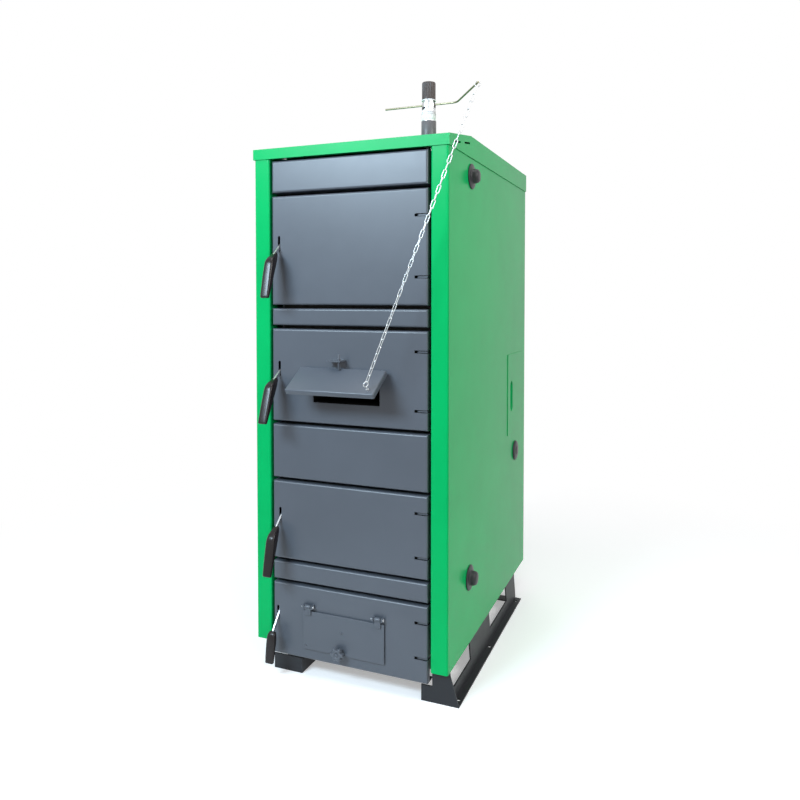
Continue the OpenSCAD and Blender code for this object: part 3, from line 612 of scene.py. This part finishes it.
def lobed(bm, place, outline, rows, steps):
    """Rings (inset, share of the lobes, height) of an outline(angle, share), in mm."""
    loft(bm, [circle(place, lambda k, t: outline(t, share) - inset, h, steps)
        for inset, share, h in rows])


def star_knob():
    """Six-lobed knob that holds the ash hatch shut, with its stem and screw."""
    place = facing(at(-22, HATCH_Y, HATCH_Z + 10), (0, -1, 0))
    lobes = 6

    def outline(t, share):
        return 16.6 + 2.9 * share * math.cos(lobes * t)

    def build(bm):
        lobed(bm, place, outline,
            [(10, 0.2, 6.0), (3, 0.9, 6.0), (1.2, 1, 6.6), (0.2, 1, 8.2), (0, 1, 10), (0, 1, 17),
                (0.3, 1, 19), (1.2, 1, 20.6), (2.8, 1, 21.6), (5, 0.8, 22), (8.6, 0.2, 21.6),
                (9.6, 0, 20.4)], lobes * 16)
        turned(bm, [(9, 0.3), (9, 5), (8.4, 6.2)], place, 32)
        turned(bm, [(4, -4.4), (4, 0.6)], place, 24)
        turned(bm, [(4.6, 20.2), (4.6, 21.4), (3.9, 22.0), (0, 22.0)], place, 24)

    knob = piece("star_knob_cover", build, "star_knob", GRAPHITE)
    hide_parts("star_knob")


def regulator_knob():
    """Fluted knob on top of the regulator."""
    place = facing(at(*REG, REG_TOP - KNOB_H), (0, 0, 1))
    flutes = 24

    def outline(t, share):
        return 19 - 1.5 * share * (0.5 + 0.5 * math.cos(flutes * t)) ** 2

    def build(bm):
        lobed(bm, place, outline,
            [(9, 0, 0), (1.2, 0, 0), (0.3, 0, 0.8), (0, 0, 2), (0, 0, 4), (0, 1, 5), (0, 1, 38),
                (0, 1, 42), (0, 0.9, 44), (0.2, 0.3, 45.4), (0.5, 0, 46.6), (1.2, 0, 47.6),
                (2.4, 0, KNOB_H), (9, 0, KNOB_H)], flutes * 8)

    knob = piece("regulator_knob_cover", build, "regulator_knob", BROWN)
    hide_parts("regulator_knob")


def side_plugs():
    """Caps over the sockets on the right side, two domed and one flat."""
    domed = [(15, -20), (15, 0.3), (35.6, 0.3), (36.5, 1.0), (36.5, 2.4), (35.7, 3.5), (33.5, 4.3),
        (25, 5.4), (22.4, 6.4), (21.3, 8.4), (20.8, 12), (20.3, 16.5), (18.8, 20.6),
        (15.8, 23.4), (11, 24.7), (0, 25)]
    flat = [(15, -20), (15, 0.3), (34.2, 0.3), (35, 1.0), (35, 2.4), (33.6, 4.6), (31, 6.4),
        (27.5, 7.2), (17.5, 7.8), (15.8, 8.4), (14.6, 9.4), (12.4, 10), (0, 10)]

    def build(bm):
        for y, z, is_flat in PLUGS:
            turned(bm, flat if is_flat else domed, facing(at(HALF_W, y, z), (1, 0, 0)), 72)

    plugs = piece("side_plug_covers", build, "boiler", MATT_BLACK)
    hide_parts("side_plugs")


# ------------------------------------------------------------------ regulator


def sleeve(bm, r_out, r_in, z0, z1, edge=0.5):
    """Tube round the regulator's axis with softened ends."""
    turned_tube(bm, ((r_in, z0), (r_out - edge, z0), (r_out, z0 + edge), (r_out, z1 - edge),
        (r_out - edge, z1), (r_in, z1)), facing(at(*REG, 0), (0, 0, 1)), 64)


def curved_patch(bm, r, a0, a1, z0, z1, lift, steps):
    """Thin raised patch on a cylinder round the regulator's axis, angles in degrees."""
    sunk = 0.3
    rings = []
    for k in range(steps + 1):
        t = math.radians(a0 + (a1 - a0) * k / steps)
        way = Vector((math.cos(t), math.sin(t), 0))
        rings.append([at(*REG, z) + way * q * MM
            for q, z in ((r - sunk, z0), (r + lift, z0), (r + lift, z1), (r - sunk, z1))])
    loft(bm, rings)


def regulator():
    """Lower sleeve, setting scale with its marks, collar and a flat black patch painted as the
    shade of the slot in the body.
    """
    ring_z = LEVER_Z - 45.2
    # Marks: radius of the scale's face, how far they are raised, their number, and the first
    # one's angle and their pitch in degrees
    face_r, raised, ticks, first, pitch = 19.65, 0.15, 30, 150, 8

    def lower(bm):
        sleeve(bm, 20.9, 19.2, CASING_TOP + 15, ring_z - 0.3, 0.8)

    def scale(bm):
        sleeve(bm, 19.7, 18.6, ring_z, LEVER_Z - 17)
        sleeve(bm, 20.1, 16.6, LEVER_Z + 10.3, LEVER_Z + 13.2)

    def marks(bm):
        for k in range(ticks):
            a = first + k * pitch
            # Every fifth tick is taller
            tall = 9 if k % 5 == 0 else 5
            curved_patch(bm, face_r, a, a + 1.6, LEVER_Z - 24 - tall, LEVER_Z - 24, raised, 1)
        # Line over the ticks
        curved_patch(bm, face_r, first, first + ticks * pitch, LEVER_Z - 22.4, LEVER_Z - 21.6,
            raised, 40)

    # Flat matt black patch: painted shade where the body's slot is
    def slot(bm):
        curved_patch(bm, 19.0, 205, 262, LEVER_Z - 14, LEVER_Z - 7.5, 0.2, 12)

    piece("regulator_sleeve", lower, "boiler", GREY)
    piece("regulator_scale", scale, "boiler", WHITE)
    piece("regulator_marks", marks, "boiler", MATT_BLACK, False)
    piece("regulator_slot_shade", slot, "boiler", MATT_BLACK, False)


def rounded_path(points, radius):
    """Points along a polyline whose corners are arcs of one radius, in metres."""
    step = 3.5 * MM
    path = [points[0]]
    for a, b, c in zip(points, points[1:], points[2:]):
        before, after = (a - b).normalized(), (c - b).normalized()
        half = before.angle(after) / 2
        reach = radius / math.tan(half)
        middle = b + (before + after).normalized() * (radius / math.sin(half))
        p, q = b + before * reach - middle, b + after * reach - middle
        turn = math.pi - 2 * half
        n = max(3, round(turn * radius / step))
        for k in range(n + 1):
            arc = p * math.sin(turn * (1 - k / n)) + q * math.sin(turn * k / n)
            path.append(middle + arc / math.sin(turn))
    path.append(points[-1])
    return path


def regulator_lever():
    """Rod through the regulator, bent forward to the chain, with its pivot's barrel."""
    x, y = REG
    left, right, rod_r, bend_r = 131, 82, 2.5, 25
    # The bent arm's reach past the bend, to the right and forward
    arm_x, arm_y = 107, 160
    path = rounded_path([at(x - left, y, LEVER_Z), at(x + right, y, LEVER_Z),
        at(x + right + arm_x, y - arm_y, LEVER_Z)], bend_r * MM)

    def build(bm):
        rings = tube_rings(path, rod_r * MM, 20)
        # Rounded ends
        for index, other in ((0, 1), (-1, -2)):
            middle = path[index]
            out = (middle - path[other]).normalized()
            cap = [[middle + (p - middle) * k + out * h * MM for p in rings[index]]
                for k, h in ((0.86, 0.7), (0.5, 1.1))]
            rings = cap[::-1] + rings if index == 0 else rings + cap
        loft(bm, rings)
        turned(bm, [(0, -5.4), (4, -5.4), (4.5, -5), (4.5, 5), (4, 5.4), (0, 5.4)],
            facing(at(x, y, LEVER_Z), (0, 1, 0)), 24)

    lever = piece("regulator_lever_rod", build, "regulator_lever", YELLOW)
    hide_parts("regulator_lever")


# ------------------------------------------------------------------ air flap and ash hatch


def air_flap():
    """Folded plate with a lip on three sides, and the barrels on its rod."""
    open_turn = Matrix.Rotation(math.radians(-FLAP_OPEN), 4, "X")
    place = Matrix.Translation(at(0, *FLAP_AXIS)) @ open_turn
    x0, x1 = FLAP_X
    face_y, lip_y = -8, 7

    def folded(bm):
        near, far = [[bm.verts.new(place @ (Vector((x, y, z)) * MM))
            for x, z in ((x0, 0), (x1, 0), (x1, -FLAP_L), (x0, -FLAP_L))]
            for y in (face_y, lip_y)]
        bm.faces.new(near)
        for a, b in ((1, 2), (2, 3), (3, 0)):
            bm.faces.new((near[b], near[a], far[a], far[b]))
        folds = [e for e in bm.edges if len(e.link_faces) == 2]
        bmesh.ops.bevel(bm, geom=folds, offset=4.5 * MM, segments=4, affect="EDGES", profile=0.5)

    flap = piece("air_flap_plate", folded, "air_flap", GRAPHITE)
    thick = flap.modifiers.new("thick", "SOLIDIFY")
    thick.thickness = 2 * MM
    thick.offset = -1
    bevelled(flap, 0.4, 2, 50)
    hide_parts("air_flap")

    def barrels(bm):
        half = 13
        outline = ((3.1, -half), (5.6, -half), (6, -half + 0.6), (6, half - 0.6), (5.6, half),
            (3.1, half))
        along = Matrix.Rotation(math.pi / 2, 4, "Y")
        for x in (-96, -20, 56):
            middle = Matrix.Translation(Vector((x, 0, 0)) * MM)
            turned_tube(bm, outline, place @ middle @ along, 32)
            box(bm, place, (x - half, x + half), (-6.5, -3.2), (-14, -2))

    hinge = piece("air_flap_barrels", barrels, "air_flap", GRAPHITE)
    bevelled(hinge, 0.3, 1, 50)


def shade_liner(body, x, w, z, h):
    """Sheet duct through a door, a little clear of the sides of its opening, near black as painted
    shade inside the opening.
    """
    gap, wall, y0, y1 = 0.3, 1.5, 2.6, 82.0

    def build(bm):
        rows = []
        for inset, y in ((gap, y0), (gap, y1), (gap + wall, y1), (gap + wall, y0)):
            a, b = x - w / 2 + inset, x + w / 2 - inset
            c, d = z + inset, z + h - inset
            rows.append([at(a, y, c), at(b, y, c), at(b, y, d), at(a, y, d)])
        loft(bm, rows, closed=True)

    duct = piece(f"{body}_liner", build, body, SHADE_BLACK, False)
    bevelled(duct, 0.4, 1)


# ------------------------------------------------------------------ screws and small parts


def hex_screw(bm, place):
    """Self-drilling screw with a washer under its hexagon head."""
    across = 8.0
    r = across / math.sqrt(3)
    turned(bm, [(0, 0.05), (6.0, 0.05), (6.3, 0.5), (5.9, 1.0), (4.6, 1.3), (0, 1.3)], place, 28)
    loft(bm, [circle(place, r * scale, h, 6) for scale, h in ((1, 1.2), (1, 4.4), (0.86, 5.2))])


def pan_screw(bm, place, r):
    """Plain pan head of radius r."""
    turned(bm, [(0, 0.05), (r, 0.05), (r, 0.8), (r * 0.92, 1.5), (r * 0.72, 2.1), (r * 0.4, 2.4),
        (0, 2.5)], place, 28)


def casing_screws():
    """Screws of the rear panel and of the top cover's rear edge."""
    # Rear panel: inset from its sides, height of the lowest screws, pitch and number
    inset, first, pitch, rows = 13, 135, 268, 6

    def build(bm):
        for x in (-HALF_W + inset, HALF_W - inset):
            for k in range(rows):
                hex_screw(bm, facing(at(x, CASING_D, first + k * pitch), (0, 1, 0)))
        for x in (-210, 0, 210):
            hex_screw(bm, facing(at(x, CASING_D + 3, CASING_TOP + 22), (0, 1, 0)))

    piece("casing_screws", build, "boiler", BRIGHT, False)


def hatch_screws():
    """Two screw heads on the hatch, and the caps on its hinge's pins."""

    cap = [(0, -0.2), (4.2, -0.2), (4.2, 0.8), (3.4, 1.8), (1.8, 2.4), (0, 2.6)]
    pin_half = 17.2

    def screws(bm):
        # x, height over the hatch's lower edge and radius of each head
        for x, up, r in ((-16, 65, 3.4), (-131, 10, 2.6)):
            pan_screw(bm, facing(at(x, HATCH_Y, HATCH_Z + up), (0, -1, 0)), r)

    def caps(bm):
        for x in (-122, 98):
            for s in (-1, 1):
                turned(bm, cap, facing(at(x + s * pin_half, *HATCH_AXIS), (s, 0, 0)), 24)

    piece("ash_hatch_screws", screws, "ash_hatch", GRAPHITE)
    piece("ash_hatch_pin_caps", caps, "ash_door", BRIGHT)


def hatch_pocket():
    """Sunken grip behind the slot of the side hatch."""
    # Depth and height of the slot's middle, half of its straight part, and its end's radius
    y, z, half_l, r = 712.0, 754.5, 37.0, 17.0
    steps = 48

    def outline(grow, x):
        """Slot with round ends, grown on all sides, at x."""
        ring = []
        for k in range(steps):
            t = 2 * math.pi * k / steps
            s = half_l if math.sin(t) >= 0 else -half_l
            ring.append(at(x, y + (r + grow) * math.cos(t), z + s + (r + grow) * math.sin(t)))
        return ring

    def build(bm):
        rows = [(7, -0.3), (0.6, -0.3), (-0.4, -1.0), (-1.2, -3), (-2.4, -10), (-4, -13),
            (-8, -14.5), (-15, -15)]
        back = [(-15, -16.2), (-8, -15.7), (-3.4, -14.4), (-1.4, -11), (-0.2, -3.4), (0.8, -1.5),
            (7, -1.5)]
        loft(bm, [outline(g, HALF_W + x) for g, x in rows + back], closed=True)

    piece("side_hatch_pocket", build, "boiler", GREEN)


def socket_threads():
    """Pipe threads, 11 turns to the inch, in the mouths of the two water sockets."""
    turns, samples, steps = 11, 6, 48
    pitch = 2.309
    # Radii of the crests and of the back, the threads' height, and the mouths' depth behind the
    # rear panel
    crest_r, wall_r, height, mouth = 20.9, 22.45, 1.3, 29.6

    def thread_ring(place, k):
        def radius(j, t):
            phase = (k / samples + j / steps) % 1.0
            return crest_r + height * abs(2 * phase - 1)

        return circle(place, radius, k * pitch / samples, steps)

    def build(bm):
        for x, z in SOCKETS:
            place = facing(at(x, CASING_D + mouth - turns * pitch, z), (0, 1, 0))
            rows = [thread_ring(place, k) for k in range(turns * samples + 1)]
            ends = [circle(place, wall_r, h, steps) for h in (turns * pitch, 0)]
            loft(bm, rows + ends, closed=True)

    piece("socket_threads", build, "boiler", BRIGHT, False)


def hinge_pin_heads():
    """Rounded heads on both ends of every door hinge's pin."""
    head = [(0, -0.2), (5.6, -0.2), (5.6, 0.8), (4.6, 1.9), (2.6, 2.6), (0, 2.8)]
    for i, door in enumerate(DOORS):
        def build(bm):
            for z in (DOOR_Z[i] + HINGE_LOW[i], DOOR_Z[i] + DOOR_H[i] - HINGE_HIGH[i]):
                for s in (-1, 1):
                    turned(bm, head, facing(at(*PIN, z + s * PIN_HALF), (0, 0, s)), 28)

        piece(f"{door}_pin_heads", build, f"{door}_door", BRIGHT)


def furnace_bricks():
    """Fired bricks on the furnace floor, on both sides of the nozzle slot."""
    # Bricks a side, half the joint between them, and their outer ends' x
    count, joint, far = 5, 1, 177
    step = (FURNACE_Y[1] - FURNACE_Y[0]) / count

    def build(bm):
        for s in (-1, 1):
            for k in range(count):
                a = FURNACE_Y[0] + k * step + joint
                b = FURNACE_Y[0] + k * step + step - joint
                rows = []
                # Each brick slopes down to the slot
                for h, near in ((0.3, 32), (34, 32), (50, 60)):
                    x0, x1 = sorted((s * near, s * far))
                    z = FURNACE_Z + h
                    rows.append([at(x0, a, z), at(x1, a, z), at(x1, b, z), at(x0, b, z)])
                loft(bm, rows)

    bricks = piece("furnace_bricks", build, "boiler", BRICK, False)
    bevelled(bricks, 3, 2)


# ------------------------------------------------------------------ stage


def make_floor():
    """White floor that keeps the boiler's shadow near it and fades into the backdrop."""
    half = 9
    # Glow near the boiler, which leaves its shadow, and far off
    near, away = 0.38, 1.0
    mesh = bpy.data.meshes.new("floor")
    mesh.from_pydata([(-half, -half, 0), (half, -half, 0), (half, half, 0), (-half, half, 0)],
        [], [(0, 1, 2, 3)])
    floor = bpy.data.objects.new("floor", mesh)
    bpy.context.scene.collection.objects.link(floor)
    m = Nodes("floor")
    m.set(Roughness=0.8, Specular_IOR_Level=0.0, Emission_Color=(1, 1, 1, 1))
    far = m.tree.nodes.new("ShaderNodeVectorMath")
    far.operation = "LENGTH"
    m.link(m.place, far.inputs[0])
    fade = m.tree.nodes.new("ShaderNodeMapRange")
    fade.interpolation_type = "SMOOTHSTEP"
    # The fade runs between these distances from the boiler's middle, in metres
    fade.inputs["From Min"].default_value = 0.9
    fade.inputs["From Max"].default_value = 2.2
    m.link(far.outputs["Value"], fade.inputs["Value"])
    m.colour(m.ramp(fade.outputs["Result"], (0.0, (0.8, 0.8, 0.8)), (1.0, (0.0, 0.0, 0.0))))
    lift = m.tree.nodes.new("ShaderNodeMath")
    lift.operation = "MULTIPLY"
    m.link(behind_rays(m.tree), lift.inputs[0])
    m.link(m.spread(fade.outputs["Result"], near, away), lift.inputs[1])
    m.link(lift.outputs[0], m.shader.inputs["Emission Strength"])
    mesh.materials.append(m.material)


bpy.context.scene.view_settings.view_transform = "Standard"
make_camera()
for name, lamp in LAMPS.items():
    area_light(name, *lamp)
make_world()
make_floor()
dress_nodes()
soften_edges()
sealing_ropes()
grips()
star_knob()
regulator_knob()
side_plugs()
regulator()
regulator_lever()
air_flap()
for duct in AIR_DUCTS:
    shade_liner(*duct)
casing_screws()
hatch_screws()
hatch_pocket()
socket_threads()
hinge_pin_heads()
furnace_bricks()
